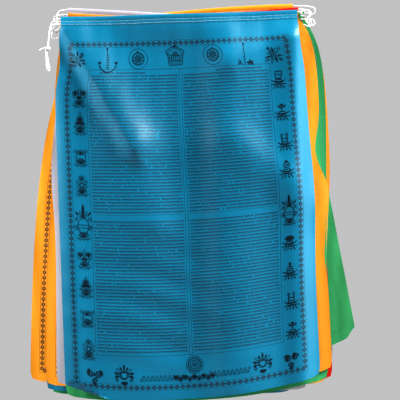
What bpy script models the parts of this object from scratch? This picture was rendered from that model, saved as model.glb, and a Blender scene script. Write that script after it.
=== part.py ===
# Tibetan prayer flag string, gathered back and forth into a bundle and held up by its two top corners.
# Metres, +Z up. The front flag faces -Y, and X runs to the right as one faces it. The origin is the
# middle of the bundle's top edge.
import math

import bmesh
import bpy
from mathutils import Vector

# Cut sizes
SHEET = 0.0012             # cloth thickness
EDGE = 0.0024              # heading at its top edge
DOUBLE = 0.0018            # heading where the cloth lies double below the cord
BEAD = 0.0032              # heading where the cord runs inside it
BEAD_AT = 0.0045           # cord's centre, below the top edge
CHANNEL = 0.0100           # bottom of the cord's channel, below the top edge
HEADING = 0.0190           # bottom of the heading, below the top edge
CORD_RADIUS = 0.0015
GAP = 0.0011               # between the end of a cord and what it runs into
LOOP_REACH = 0.0225        # how far a turn of the cord stands out beside the headings
LOOP_HALF = 0.0070         # half the height of that turn's loop
LOOP_SAG = 0.0030          # how far it droops below its two ends
TURN_POINTS = 17

# How the layers lie behind one another
TOP_PITCH = 0.0044         # layer to layer at the headings
FOOT_PITCH = 0.0056        # layer to layer at the feet
FRONT_STEP = 0.0020        # the front flag stands this much further forward
DROP = 0.83                # height over which the bundle fans out
CURL_FROM = 0.17           # the sides of the bundle bend back beyond this distance from its middle
CURL_REACH = 0.075
CURL_BACK = 0.0200
CURL_SETTLE = 0.17         # share of the drop in which they begin to

# How far the front flag leans out: all over, and more at the middle of its heading
LIFT = 0.0060
LIFT_SETTLE = 0.10
BOW_RISE = 0.0240
BOW_REACH = 0.11
BOW_FALL = 0.080

# Grids of the cloth
COLUMNS = 9
ROWS = 7
FRONT_COLUMNS = 18
FRONT_ROWS = 14

# The turned-up corner of the front flag
FOLD_START = Vector((-0.245, -0.798))
FOLD_END = Vector((-0.146, -0.832))
ROLL_RADIUS = 0.0035
ROLL_STEPS = 3

COLOURS = {
    "blue": (0.008, 0.300, 0.560),
    "yellow": (0.950, 0.420, 0.020),
    "green": (0.020, 0.340, 0.120),
    "red": (0.750, 0.020, 0.010),
    "white": (0.780, 0.760, 0.800),
    "cord": (0.820, 0.810, 0.790),
}

# The flags, front to back. Lengths are millimetres, heights are from the origin.
#  left, right   each side's place at the heading and at the foot, were it not drawn in at the grip
#  draw          how far the grip draws the left and the right side in
#  settle        share of the drop in which a drawn-in side comes out again
#  head, foot    heights of the heading and of the foot at left, middle and right
#  swing         how far the foot hangs back, beyond the even fan
FLAG_COLUMNS = "colour left right draw settle head foot swing".split()
FLAGS = [dict(zip(FLAG_COLUMNS, row)) for row in (
    ("blue", (-276, -245), (262, 302), (20, 9), 0.06, (-11, -5, 5), (-822, -830, -781), 0),
    ("yellow", (-255, -220), (290, 329), (14, 36), 0.05, (-1, -9, 5), (-814, -812, -768), 0),
    ("green", (-262, -246), (288, 320), (14, 30), 0.08, (-13, -9, -2), (-826, -835, -790), 0),
    ("red", (-250, -232), (290, 330), (10, 35), 0.08, (-16, -6, 12), (-816, -824, -788), 0),
    ("white", (-272, -267), (255, 274), (30, 12), 0.12, (11, -3, -20), (-802, -816, -812), 0),
    ("blue", (-262, -252), (300, 297), (12, 40), 0.05, (-20, -14, -9), (-800, -806, -788), 0),
    ("yellow", (-270, -291), (255, 262), (16, 11), 0.08, (-30, 4, 20), (-805, -812, -800), 0),
    ("green", (-246, -242), (318, 318), (6, 50), 0.08, (-26, -4, 6), (-808, -812, -792), 0),
    ("red", (-264, -276), (284, 280), (10, 30), 0.08, (-22, -14, -10), (-806, -814, -796), 0),
    ("white", (-262, -256), (262, 300), (10, 6), 0.08, (-19, -14, -12), (-800, -802, -780), 1),
    ("blue", (-268, -292), (250, 240), (14, 6), 0.08, (-24, -16, -14), (-818, -826, -821), 2),
    ("yellow", (-244, -250), (324, 316), (2, 56), 0.08, (-22, -14, -8), (-806, -816, -802), 3),
    ("green", (-266, -281), (256, 270), (10, 10), 0.08, (-24, -16, -12), (-826, -826, -806), 4),
    ("red", (-258, -262), (262, 270), (4, 8), 0.08, (-20, -16, -16), (-806, -812, -794), 5),
    ("white", (-256, -252), (260, 282), (2, 6), 0.08, (-23, -14, -9), (-798, -804, -790), 6),
    ("blue", (-262, -266), (264, 268), (8, 12), 0.08, (-18, -14, -13), (-806, -808, -796), 8),
    ("yellow", (-333, -334), (262, 234), (110, 8), 0.27, (-28, -16, -10), (-800, -824, -818), 10),
    ("green", (-262, -166), (252, 388), (4, 2), 0.08, (-44, -26, -12), (-806, -792, -700), 18),
    ("red", (-256, -240), (258, 300), (6, 8), 0.08, (-28, -18, -14), (-800, -804, -780), 20),
    ("white", (-260, -226), (258, 340), (8, 10), 0.08, (-24, -16, -12), (-812, -812, -774), 24),
)]

# Local bends of a side: which, where on the drop, over what share of it, and by how many millimetres
BENDS = [dict(zip("flag side at reach by".split(), row)) for row in (
    (1, "left", 0.12, 0.06, 10),
    (1, "right", 0.08, 0.06, -5),
    (1, "right", 0.50, 0.16, 7),
    (2, "right", 0.39, 0.07, -14),
    (2, "right", 0.50, 0.06, 12),
    (2, "right", 0.69, 0.05, -5),
    (3, "right", 0.60, 0.20, 8),
    (4, "right", 0.30, 0.14, -14),
    (5, "left", 0.43, 0.13, -10),
    (12, "right", 0.42, 0.14, 6),
)]

# Soft folds of the front flag: place at their upper and lower end, reach to the left and to the right,
# height towards the viewer
FRONT_FOLDS = [dict(zip("top foot left right height".split(), row)) for row in (
    ((-0.242, -0.040), (-0.100, -0.285), 0.024, 0.050, 0.0180),
    ((-0.100, -0.290), (-0.060, -0.460), 0.055, 0.048, 0.0075),
    ((0.080, -0.090), (0.106, -0.800), 0.040, 0.080, 0.0140),
    ((0.120, -0.110), (0.150, -0.330), 0.050, 0.110, 0.0060),
    ((0.270, -0.030), (0.110, -0.105), 0.030, 0.034, 0.0080),
    ((0.110, -0.270), (0.300, -0.420), 0.050, 0.040, 0.0080),
    ((0.243, -0.060), (0.264, -0.800), 0.034, 0.025, 0.0160),
    ((-0.252, -0.150), (-0.222, -0.800), 0.034, 0.028, 0.0110),
    ((-0.110, -0.066), (0.060, -0.066), 0.040, 0.034, -0.0040),
)]

# The tail: X and height of the cord's own points from the front heading to its knot, the knot's
# points with their radii, and the points of the loop below it to the free end
TAIL_ROUTE = ((-0.2640, -0.0165), (-0.2735, -0.0220), (-0.2785, -0.0350), (-0.2810, -0.0520), (-0.2830, -0.0716))
KNOT_ROUTE = (
    (-0.3020, -0.0830, 0.0015),
    (-0.2965, -0.0800, 0.0015),
    (-0.2915, -0.0785, 0.0016),
    (-0.2878, -0.0785, 0.0036),
    (-0.2845, -0.0790, 0.0052),
    (-0.2812, -0.0790, 0.0050),
    (-0.2785, -0.0785, 0.0030),
)
# loop under the knot, seen nearly edge on: distance down from its head, and to the side
LOOP_HEAD = (-0.2868, -0.0872)
LOOP_LEAN = (0.1226, -0.9925)
LOOP_TURNED = (0.30, 0.954)
LOOP_SHAPE = (
    (0.0000, -0.0010), (0.0060, -0.0017), (0.0130, -0.0032), (0.0200, -0.0050), (0.0265, -0.0067),
    (0.0327, -0.0073), (0.0379, -0.0052), (0.0400, 0.0000), (0.0379, 0.0052), (0.0327, 0.0073),
    (0.0265, 0.0067), (0.0200, 0.0051), (0.0130, 0.0036), (0.0060, 0.0026), (0.0000, 0.0025),
)
TAIL_POINTS = 16
LOOP_POINTS = 30


def bump(at, centre, reach):
    return math.exp(-(((at - centre) / reach) ** 2))


def side_at(number, side, share):
    """X of one side of a flag, at a share of its drop."""
    flag = FLAGS[number - 1]
    top, foot = flag[side]
    left = side == "left"
    draw = flag["draw"][0] if left else -flag["draw"][1]
    below = max(0.0, share - HEADING / DROP)
    place = top + (foot - top) * share + draw * math.exp(-below / flag["settle"])
    for bend in BENDS:
        if bend["flag"] == number and bend["side"] == side:
            place += bend["by"] * bump(share, bend["at"], bend["reach"])
    return place / 1000


def edge_height(number, edge, across):
    """Height of a flag's head or foot, at a share of its width."""
    left, middle, right = FLAGS[number - 1][edge]
    bow = 4 * middle - 2 * (left + right)
    return (left + (right - left) * across + bow * across * (1 - across)) / 1000


def layer_depth(number, height):
    """Y of a layer: the even fan, and what its foot hangs back beyond it."""
    fall = min(max(-height / DROP, 0.0), 1.0)
    behind = number - (len(FLAGS) + 1) / 2
    depth = behind * (TOP_PITCH + (FOOT_PITCH - TOP_PITCH) * fall)
    depth += FLAGS[number - 1]["swing"] / 1000 * fall ** 2
    return depth - (FRONT_STEP if number == 1 else 0.0)


def bundle_folds(x, height):
    """The soft upright folds that all layers share, and the sides that turn back."""
    fall = min(max(-height / DROP, 0.0), 1.0)
    rise = 0.0012 + 0.0034 * fall
    wave = rise * math.sin(2 * math.pi * (x / 0.31 + 0.16 + 0.12 * fall))
    wave += 0.35 * rise * math.sin(2 * math.pi * (x / 0.19 - 0.25 * fall + 0.30))
    side = max(0.0, abs(x - 0.02) - CURL_FROM) / CURL_REACH
    return wave + CURL_BACK * (math.sqrt(1 + side ** 2) - 1) * (1 - bump(fall, 0, CURL_SETTLE))


def front_folds(x, height):
    """How far the front flag bulges towards the viewer."""
    fall = max(0.0, -height - 0.02)
    total = LIFT * (1 - math.exp(-fall / LIFT_SETTLE))
    total += BOW_RISE * bump(x, -0.015, BOW_REACH) * bump(fall, 0, BOW_FALL)
    for fold in FRONT_FOLDS:
        top = Vector(fold["top"])
        run = Vector(fold["foot"]) - top
        here = Vector((x, height)) - top
        along = here.dot(run) / run.length_squared
        across = here.cross(run) / run.length
        across /= fold["left"] if across > 0 else fold["right"]
        past = max(0.0, -along, along - 1) * run.length * 2 / (fold["left"] + fold["right"])
        total += fold["height"] * bump(math.hypot(across, past), 0, 1)
    return total


def cloth_depth(number, x, height):
    """Y of a flag's cloth."""
    depth = layer_depth(number, height) + bundle_folds(x, height)
    return depth - (front_folds(x, height) if number == 1 else 0.0)


def thickness_at(below):
    """Thickness of the cloth at a distance below its top edge."""
    for reach, thickness in ((0.001, EDGE), (CHANNEL - 0.001, BEAD), (HEADING - 0.001, DOUBLE)):
        if below < reach:
            return thickness
    return SHEET


def flat_sheet(number, columns, rows):
    """The flag's outline seen from the front, as a grid in the XZ plane, and each vertex's thickness."""
    bm = bmesh.new()
    layer = bm.verts.layers.float.new("thickness")
    drop = edge_height(number, "head", 0.5) - edge_height(number, "foot", 0.5)
    start = HEADING / drop
    shares = [0.0, BEAD_AT / drop, CHANNEL / drop]
    shares += [start + (1 - start) * row / rows for row in range(rows + 1)]
    grid = []
    for share in shares:
        left, right = side_at(number, "left", share), side_at(number, "right", share)
        line = []
        for column in range(columns + 1):
            across = column / columns
            head, foot = edge_height(number, "head", across), edge_height(number, "foot", across)
            vert = bm.verts.new((left + (right - left) * across, 0, head + (foot - head) * share))
            vert[layer] = thickness_at(share * drop)
            line.append(vert)
        grid.append(line)
    for upper, lower in zip(grid, grid[1:]):
        for column in range(columns):
            bm.faces.new((upper[column], lower[column], lower[column + 1], upper[column + 1]))
    return bm, layer


def fold_frame():
    """Directions along the turned-up corner's fold line and square to it, towards the corner."""
    run = (FOLD_END - FOLD_START).normalized()
    return run, Vector((run.y, -run.x))


def cut_for_corner(bm):
    """Edges along the fold line, one for each step of the roll."""
    run, outward = fold_frame()
    for step in range(ROLL_STEPS + 1):
        point = FOLD_START + outward * (math.pi * ROLL_RADIUS * step / ROLL_STEPS)
        bmesh.ops.bisect_plane(
            bm,
            geom=bm.verts[:] + bm.edges[:] + bm.faces[:],
            dist=0.0005,
            plane_co=(point.x, 0, point.y),
            plane_no=(outward.x, 0, outward.y),
        )


def turn_corner_up(x, height):
    """Rolls what lies beyond the fold line over to the front. Returns its place and its lift."""
    run, outward = fold_frame()
    beyond = (Vector((x, height)) - FOLD_START).dot(outward)
    if beyond <= 0:
        return x, height, 0.0
    angle = min(beyond / ROLL_RADIUS, math.pi)
    rest = beyond - angle * ROLL_RADIUS
    place = Vector((x, height)) + outward * (ROLL_RADIUS * math.sin(angle) - rest - beyond)
    return place.x, place.y, ROLL_RADIUS * (1 - math.cos(angle))


def make_flag(number, collection):
    front = number == 1
    bm, layer = flat_sheet(number, *((FRONT_COLUMNS, FRONT_ROWS) if front else (COLUMNS, ROWS)))
    if front:
        cut_for_corner(bm)
    bmesh.ops.triangulate(bm, faces=[face for face in bm.faces if len(face.verts) > 4])
    weights = [vert[layer] / BEAD for vert in bm.verts]
    for vert in bm.verts:
        x, height, lift = vert.co.x, vert.co.z, 0.0
        if front:
            x, height, lift = turn_corner_up(x, height)
        vert.co = (x, cloth_depth(number, x, height) - lift, height)
    colour = FLAGS[number - 1]["colour"]
    name = f"flag_{number:02d}_{colour}"
    mesh = bpy.data.meshes.new(name)
    bm.to_mesh(mesh)
    bm.free()
    mesh.materials.append(material(colour))
    ob = bpy.data.objects.new(name, mesh)
    collection.objects.link(ob)
    group = ob.vertex_groups.new(name="thickness")
    for index, weight in enumerate(weights):
        group.add([index], weight, "REPLACE")
    solid = ob.modifiers.new("cloth", "SOLIDIFY")
    solid.thickness = BEAD
    solid.offset = 0
    solid.vertex_group = group.name


def smooth_route(points, count):
    """Evenly spaced points on a smooth curve through the given ones."""
    dense = []
    ends = [points[0] * 2 - points[1], *points, points[-1] * 2 - points[-2]]
    for before, start, end, after in zip(ends, ends[1:], ends[2:], ends[3:]):
        for step in range(40):
            t = step / 40
            curve = start * 2 + (end - before) * t
            curve += (before * 2 - start * 5 + end * 4 - after) * t ** 2
            dense.append((curve + (start * 3 - before - end * 3 + after) * t ** 3) / 2)
    dense.append(points[-1].copy())
    lengths = [0.0]
    for start, end in zip(dense, dense[1:]):
        lengths.append(lengths[-1] + (end - start).length)
    route, index = [], 0
    for step in range(count):
        target = lengths[-1] * step / (count - 1)
        while index < len(dense) - 2 and lengths[index + 1] < target:
            index += 1
        share = (target - lengths[index]) / max(1e-9, lengths[index + 1] - lengths[index])
        route.append(dense[index].lerp(dense[index + 1], min(1.0, share)))
    return route


def make_cord(name, route, collection, radii=None):
    curve = bpy.data.curves.new(name, "CURVE")
    curve.dimensions = "3D"
    curve.bevel_depth = CORD_RADIUS
    curve.bevel_resolution = 2
    curve.use_fill_caps = True
    spline = curve.splines.new("POLY")
    spline.points.add(len(route) - 1)
    for index, place in enumerate(route):
        spline.points[index].co = (*place, 1)
        spline.points[index].radius = radii[index] / CORD_RADIUS if radii else 1.0
    curve.materials.append(material("cord"))
    collection.objects.link(bpy.data.objects.new(name, curve))


def heading_end(number, side):
    """X and height of the cord where it leaves a heading."""
    height = edge_height(number, "head", 0.0 if side == "left" else 1.0) - BEAD_AT
    return side_at(number, side, BEAD_AT / DROP) + (-GAP if side == "left" else GAP), height


def make_turn(number, collection):
    """The cord's turn from one flag to the one behind it: a drop-shaped loop beside the headings."""
    side = "right" if number % 2 else "left"
    out = 1 if side == "right" else -1
    (x1, z1), (x2, z2) = heading_end(number, side), heading_end(number + 1, side)
    reach = max(out * x1, out * x2)
    middle = (z1 + z2) / 2 - LOOP_SAG
    half = max(LOOP_HALF, abs(z1 - z2) / 2 + 0.001) * (1 if z1 >= z2 else -1)
    upper, lower = middle + half, middle - half
    stations = (
        (out * x1, z1, 0.0),
        (reach + 0.003, z1 + (upper - z1) * 0.04, 0.0),
        (reach + LOOP_REACH * 0.40, z1 + (upper - z1) * 0.50, 0.03),
        (reach + LOOP_REACH * 0.65, upper, 0.12),
        (reach + LOOP_REACH * 0.91, middle + half * 0.71, 0.30),
        (reach + LOOP_REACH, middle, 0.50),
        (reach + LOOP_REACH * 0.91, middle - half * 0.71, 0.70),
        (reach + LOOP_REACH * 0.65, lower, 0.88),
        (reach + LOOP_REACH * 0.40, z2 + (lower - z2) * 0.50, 0.97),
        (reach + 0.003, z2 + (lower - z2) * 0.04, 1.0),
        (out * x2, z2, 1.0),
    )
    points = []
    for x, z, share in stations:
        depth = cloth_depth(number, out * x, z)
        depth += (cloth_depth(number + 1, out * x, z) - depth) * share
        points.append(Vector((out * x, depth, z)))
    make_cord(f"cord_turn_{number:02d}", smooth_route(points, TURN_POINTS), collection)


def make_tail(collection):
    """The tied tail beside the front flag's heading: the cord, the knot with its cut end, the loop."""
    x, z = heading_end(1, "left")
    depth = cloth_depth(1, x, z)
    tail = [Vector((x, depth, z))] + [Vector((x, depth, z)) for x, z in TAIL_ROUTE]
    make_cord("cord_tail", smooth_route(tail, TAIL_POINTS), collection)
    knot = [Vector((x, depth, z)) for x, z, _ in KNOT_ROUTE]
    make_cord("cord_knot", knot, collection, [radius for _, _, radius in KNOT_ROUTE])
    loop = [
        Vector((
            LOOP_HEAD[0] + LOOP_LEAN[0] * down + LOOP_TURNED[0] * side,
            depth + LOOP_TURNED[1] * side,
            LOOP_HEAD[1] + LOOP_LEAN[1] * down,
        ))
        for down, side in LOOP_SHAPE
    ]
    make_cord("cord_loop", smooth_route(loop, LOOP_POINTS), collection)


def material(colour):
    name = "cord_cotton" if colour == "cord" else f"cloth_{colour}"
    found = bpy.data.materials.get(name)
    if found:
        return found
    made = bpy.data.materials.new(name)
    made.use_nodes = True
    shader = made.node_tree.nodes["Principled BSDF"]
    shader.inputs["Base Color"].default_value = (*COLOURS[colour], 1)
    shader.inputs["Roughness"].default_value = 0.9 if colour == "cord" else 0.7
    shader.inputs["Metallic"].default_value = 0
    return made


for ob in list(bpy.data.objects):
    bpy.data.objects.remove(ob, do_unlink=True)
bundle = bpy.data.collections.new("tibetan_prayer_flag_string")
bpy.context.scene.collection.children.link(bundle)
for number in range(1, len(FLAGS) + 1):
    make_flag(number, bundle)
for number in range(1, len(FLAGS)):
    make_turn(number, bundle)
make_tail(bundle)
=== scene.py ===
import math
import random

import bmesh
import bpy
import numpy as np
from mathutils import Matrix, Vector


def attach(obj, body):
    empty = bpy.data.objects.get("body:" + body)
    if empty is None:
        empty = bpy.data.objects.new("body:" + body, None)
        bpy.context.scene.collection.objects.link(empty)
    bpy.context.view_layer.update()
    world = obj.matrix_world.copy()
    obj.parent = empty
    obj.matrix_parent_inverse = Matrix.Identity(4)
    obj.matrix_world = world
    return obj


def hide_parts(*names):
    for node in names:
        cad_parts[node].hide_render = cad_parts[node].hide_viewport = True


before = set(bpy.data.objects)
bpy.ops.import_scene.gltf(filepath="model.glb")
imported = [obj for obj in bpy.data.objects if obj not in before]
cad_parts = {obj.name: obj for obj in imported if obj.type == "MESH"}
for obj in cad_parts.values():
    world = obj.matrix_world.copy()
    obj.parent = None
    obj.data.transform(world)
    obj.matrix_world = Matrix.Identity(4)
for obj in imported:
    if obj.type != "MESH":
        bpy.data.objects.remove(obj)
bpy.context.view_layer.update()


# socket arithmetic: a small wrapper that adds Math nodes
class Num:
    def __init__(self, tree, socket):
        self.tree, self.socket = tree, socket

    def calc(self, operation, *others):
        node = self.tree.nodes.new("ShaderNodeMath")
        node.operation = operation
        for slot, value in zip(node.inputs, (self, *others)):
            if isinstance(value, Num):
                self.tree.links.new(value.socket, slot)
            else:
                slot.default_value = value
        return Num(self.tree, node.outputs[0])

    def __add__(self, other):
        return self.calc("ADD", other)

    def __sub__(self, other):
        return self.calc("SUBTRACT", other)

    def __mul__(self, other):
        return self.calc("MULTIPLY", other)

    def __truediv__(self, other):
        return self.calc("DIVIDE", other)

    def size(self):
        return self.calc("ABSOLUTE")

    def over(self, limit):
        return self.calc("GREATER_THAN", limit)

    def under(self, limit):
        return self.calc("LESS_THAN", limit)

    def most(self, other):
        return self.calc("MAXIMUM", other)

    def ramp(self, low, high):
        node = addNode(self.tree, "ShaderNodeMapRange", {"From Min": low, "From Max": high, "Value": self})
        return Num(self.tree, node.outputs["Result"])

    def within(self, centre, reach, soft=0.25):
        # 1 where the value is nearer than reach to centre, with a soft edge
        return (self - centre).size().ramp(reach + soft, reach - soft)


def feed(tree, node, inputs):
    # each input is linked to a socket or set to a value
    for name, value in inputs.items():
        value = value.socket if isinstance(value, Num) else value
        if isinstance(value, bpy.types.NodeSocket):
            tree.links.new(value, node.inputs[name])
        else:
            node.inputs[name].default_value = value


def addNode(tree, kind, inputs, **settings):
    node = tree.nodes.new(kind)
    for name, value in settings.items():
        setattr(node, name, value)
    feed(tree, node, inputs)
    return node


def newMaterial(name):
    made = bpy.data.materials.new(name)
    made.use_nodes = True
    return made, made.node_tree, made.node_tree.nodes["Principled BSDF"]


def placeMesh(name, mesh, *materials):
    for material in materials:
        mesh.materials.append(material)
    ob = bpy.data.objects.new(name, mesh)
    bpy.context.scene.collection.objects.link(ob)
    return ob


# camera, lights and floor
studio = {
    "cameraPlace": (0.043, -5.0, -0.404),
    "lens": 207.4,
    "lights": (            # name, place, what it faces, watts, width and height
        ("highLight", (2.15, -1.00, 1.75), (0.1, 0, -0.25), 185, (1.2, 1.2)),
        ("sideLight", (1.60, -0.48, -0.20), (0.2, 0, -0.40), 9, (0.35, 1.2)),
        ("leftLight", (-1.42, -0.24, 0.25), (-0.2, 0, -0.40), 36, (0.5, 1.2)),
        ("topLight", (0, -1.5, 2.2), (0, 0, -0.4), 2, (1.6, 1.6)),
        ("backLight", (0.6, 2.4, 0.8), (0, 0, -0.4), 60, (2.0, 2.0)),
    ),
    "skyColour": (0.93, 0.93, 0.94, 1),
    "skySeen": 0.45,       # brightness of the backdrop
    "skyLight": 0.05,      # what it adds to the light
    "floorHeight": -1.35,
    "floorReach": 5.6,
    "floorColour": (0.24, 0.24, 0.235, 1),
    "floorGlow": 0.30,
}


def makeCamera():
    data = bpy.data.cameras.new("camera")
    data.lens = studio["lens"]
    camera = bpy.data.objects.new("camera", data)
    camera.location = studio["cameraPlace"]
    camera.rotation_euler = (math.radians(90), 0, 0)
    bpy.context.scene.collection.objects.link(camera)
    bpy.context.scene.camera = camera


def makeLight(name, place, target, power, size):
    data = bpy.data.lights.new(name, "AREA")
    data.energy, data.shape = power, "RECTANGLE"
    data.size, data.size_y = size
    light = bpy.data.objects.new(name, data)
    light.location = place
    light.rotation_euler = (Vector(target) - Vector(place)).to_track_quat("-Z", "Y").to_euler()
    bpy.context.scene.collection.objects.link(light)


def makeSky():
    sky = bpy.data.worlds.new("sky")
    sky.use_nodes = True
    tree = sky.node_tree
    rays = tree.nodes.new("ShaderNodeLightPath")
    level = addNode(tree, "ShaderNodeMapRange", {
        "Value": rays.outputs["Is Camera Ray"], "To Min": studio["skyLight"], "To Max": studio["skySeen"],
    })
    feed(tree, tree.nodes["Background"], {"Strength": level.outputs["Result"], "Color": studio["skyColour"]})
    bpy.context.scene.world = sky
    bpy.context.scene.view_settings.view_transform = "Standard"
    bpy.context.scene.view_settings.look = "High Contrast"


def makeFloor():
    bpy.ops.mesh.primitive_circle_add(
        vertices=96, radius=studio["floorReach"], fill_type="NGON", location=(0, 0, studio["floorHeight"]),
    )
    floor = bpy.context.object
    floor.name = "floor"
    paint, tree, shader = newMaterial("paleFloor")
    feed(tree, shader, {
        "Base Color": studio["floorColour"], "Roughness": 0.9,
        "Emission Color": studio["skyColour"], "Emission Strength": studio["floorGlow"],
    })
    floor.data.materials.append(paint)


makeCamera()
for row in studio["lights"]:
    makeLight(*row)
makeSky()
makeFloor()
print("camera, lights and floor ready")

# sizes of the cloth and the string, in metres
cloth = {
    "width": 0.56,
    "length": 0.83,
    "beadAt": 0.0045,      # the string's centre, below the top edge
    "heading": 0.0190,     # bottom of the folded heading
    "topPitch": 0.0044,    # layer to layer at the headings
    "footPitch": 0.0056,
    "frontStep": 0.0020,
    "drop": 0.83,
    "curlFrom": 0.17,      # the sides of the bundle bend back beyond this
    "curlReach": 0.075,
    "curlBack": 0.0200,
    "curlSettle": 0.17,
    "waveRise": 0.0012,    # slow waves of the whole bundle, at the top
    "waveMore": 0.0034,    # and what is added to them towards the foot
    "waves": ((1.0, 0.31, 0.16, 0.12), (0.35, 0.19, 0.30, -0.25)),     # share, pitch, shift, lean
}
string = {
    "radius": 0.0015, "gap": 0.0011, "reach": 0.0225, "half": 0.0070, "sag": 0.0030,
    "twist": 620, "sides": 16, "lobe": 0.10, "layLength": 0.0094,
}
# the front flag's turned-up corner: its fold line, and how it rolls and ripples
corner = {
    "start": (-0.245, -0.798), "end": (-0.146, -0.832),
    "radius": 0.0018, "lean": 0.30, "wave": 0.26, "leanWave": 0.25, "wavePitch": 0.031, "waveShift": 0.8,
}

# the flags, front to back, in millimetres from the middle of the top edge
flagColumns = "colour left right draw settle head foot swing".split()
flags = [dict(zip(flagColumns, row)) for row in (
    ("blue", (-276, -245), (262, 302), (20, 9), 0.06, (-11, -5, 5), (-822, -830, -781), 0),
    ("yellow", (-255, -220), (290, 329), (14, 36), 0.05, (-1, -9, 5), (-814, -812, -768), 0),
    ("green", (-262, -246), (288, 320), (14, 30), 0.08, (-13, -9, -2), (-826, -835, -790), 0),
    ("red", (-250, -232), (290, 330), (10, 35), 0.08, (-16, -6, 12), (-816, -824, -788), 0),
    ("white", (-272, -267), (255, 274), (30, 12), 0.12, (11, -3, -20), (-802, -816, -812), 0),
    ("blue", (-262, -252), (300, 297), (12, 40), 0.05, (-20, -14, -9), (-800, -806, -788), 0),
    ("yellow", (-270, -291), (255, 262), (16, 11), 0.08, (-30, 4, 20), (-805, -812, -800), 0),
    ("green", (-246, -242), (318, 318), (6, 50), 0.08, (-26, -4, 6), (-808, -812, -792), 0),
    ("red", (-264, -276), (284, 280), (10, 30), 0.08, (-22, -14, -10), (-806, -814, -796), 0),
    ("white", (-262, -256), (262, 300), (10, 6), 0.08, (-19, -14, -12), (-800, -802, -780), 1),
    ("blue", (-268, -292), (250, 240), (14, 6), 0.08, (-24, -16, -14), (-818, -826, -821), 2),
    ("yellow", (-244, -250), (324, 316), (2, 56), 0.08, (-22, -14, -8), (-806, -816, -802), 3),
    ("green", (-266, -281), (256, 270), (10, 10), 0.08, (-24, -16, -12), (-826, -826, -806), 4),
    ("red", (-258, -262), (262, 270), (4, 8), 0.08, (-20, -16, -16), (-806, -812, -794), 5),
    ("white", (-256, -252), (260, 282), (2, 6), 0.08, (-23, -14, -9), (-798, -804, -790), 6),
    ("blue", (-262, -266), (264, 268), (8, 12), 0.08, (-18, -14, -13), (-806, -808, -796), 8),
    ("yellow", (-333, -334), (262, 234), (110, 8), 0.27, (-28, -16, -10), (-800, -824, -818), 10),
    ("green", (-262, -166), (252, 388), (4, 2), 0.08, (-44, -26, -12), (-806, -792, -700), 18),
    ("red", (-256, -240), (258, 300), (6, 8), 0.08, (-28, -18, -14), (-800, -804, -780), 20),
    ("white", (-260, -226), (258, 340), (8, 10), 0.08, (-24, -16, -12), (-812, -812, -774), 24),
)]
sideBends = [dict(zip("flag side at reach by".split(), row)) for row in (
    (1, "left", 0.12, 0.06, 10),
    (1, "right", 0.08, 0.06, -5),
    (1, "right", 0.50, 0.16, 7),
    (2, "right", 0.39, 0.07, -14),
    (2, "right", 0.50, 0.06, 12),
    (2, "right", 0.69, 0.05, -5),
    (3, "right", 0.60, 0.20, 8),
    (4, "right", 0.30, 0.14, -14),
    (5, "left", 0.43, 0.13, -10),
    (12, "right", 0.42, 0.14, 6),
)]
# soft folds of the front flag: their ends, reach to the left and to the right, height towards the viewer
frontFoldRows = [dict(zip("top foot left right height".split(), row)) for row in (
    ((-0.242, -0.040), (-0.100, -0.285), 0.024, 0.050, 0.0180),
    ((-0.100, -0.290), (-0.060, -0.460), 0.055, 0.048, 0.0075),
    ((0.080, -0.090), (0.106, -0.800), 0.040, 0.080, 0.0140),
    ((0.120, -0.110), (0.150, -0.330), 0.050, 0.110, 0.0060),
    ((0.270, -0.030), (0.110, -0.105), 0.030, 0.034, 0.0080),
    ((0.110, -0.270), (0.300, -0.420), 0.050, 0.040, 0.0080),
    ((0.243, -0.060), (0.264, -0.800), 0.034, 0.025, 0.0160),
    ((-0.252, -0.150), (-0.222, -0.800), 0.034, 0.028, 0.0110),
    ((-0.110, -0.066), (0.060, -0.066), 0.040, 0.034, -0.0060),
)]
frontLift = {
    "height": 0.0060, "settle": 0.10, "from": 0.02,
    "bowRise": 0.0240, "bowAt": -0.015, "bowReach": 0.11, "bowFall": 0.080,   # the heading's middle leans out
    "rippleRise": 0.0013, "ripplePitch": 0.071, "rippleAt": (-0.06, -0.64), "rippleReach": (0.17, 0.16),
}


def bump(at, centre, reach):
    return np.exp(-(((at - centre) / reach) ** 2))


def sideAt(number, side, share):
    flag = flags[number - 1]
    top, foot = flag[side]
    draw = flag["draw"][0] if side == "left" else -flag["draw"][1]
    below = np.maximum(0.0, share - cloth["heading"] / cloth["drop"])
    place = top + (foot - top) * share + draw * np.exp(-below / flag["settle"])
    for bend in sideBends:
        if bend["flag"] == number and bend["side"] == side:
            place = place + bend["by"] * bump(share, bend["at"], bend["reach"])
    return place / 1000


def edgeHeight(number, edge, across):
    left, middle, right = flags[number - 1][edge]
    bow = 4 * middle - 2 * (left + right)
    return (left + (right - left) * across + bow * across * (1 - across)) / 1000


def layerDepth(number, height):
    fall = np.clip(-height / cloth["drop"], 0.0, 1.0)
    behind = number - (len(flags) + 1) / 2
    depth = behind * (cloth["topPitch"] + (cloth["footPitch"] - cloth["topPitch"]) * fall)
    depth = depth + flags[number - 1]["swing"] / 1000 * fall ** 2
    return depth - (cloth["frontStep"] if number == 1 else 0.0)


def bundleFolds(x, height):
    fall = np.clip(-height / cloth["drop"], 0.0, 1.0)
    wave = 0.0
    for share, pitch, shift, lean in cloth["waves"]:
        wave = wave + share * np.sin(2 * np.pi * (x / pitch + shift + lean * fall))
    wave = wave * (cloth["waveRise"] + cloth["waveMore"] * fall)
    side = np.maximum(0.0, np.abs(x - 0.02) - cloth["curlFrom"]) / cloth["curlReach"]
    return wave + cloth["curlBack"] * (np.sqrt(1 + side ** 2) - 1) * (1 - bump(fall, 0, cloth["curlSettle"]))


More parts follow.
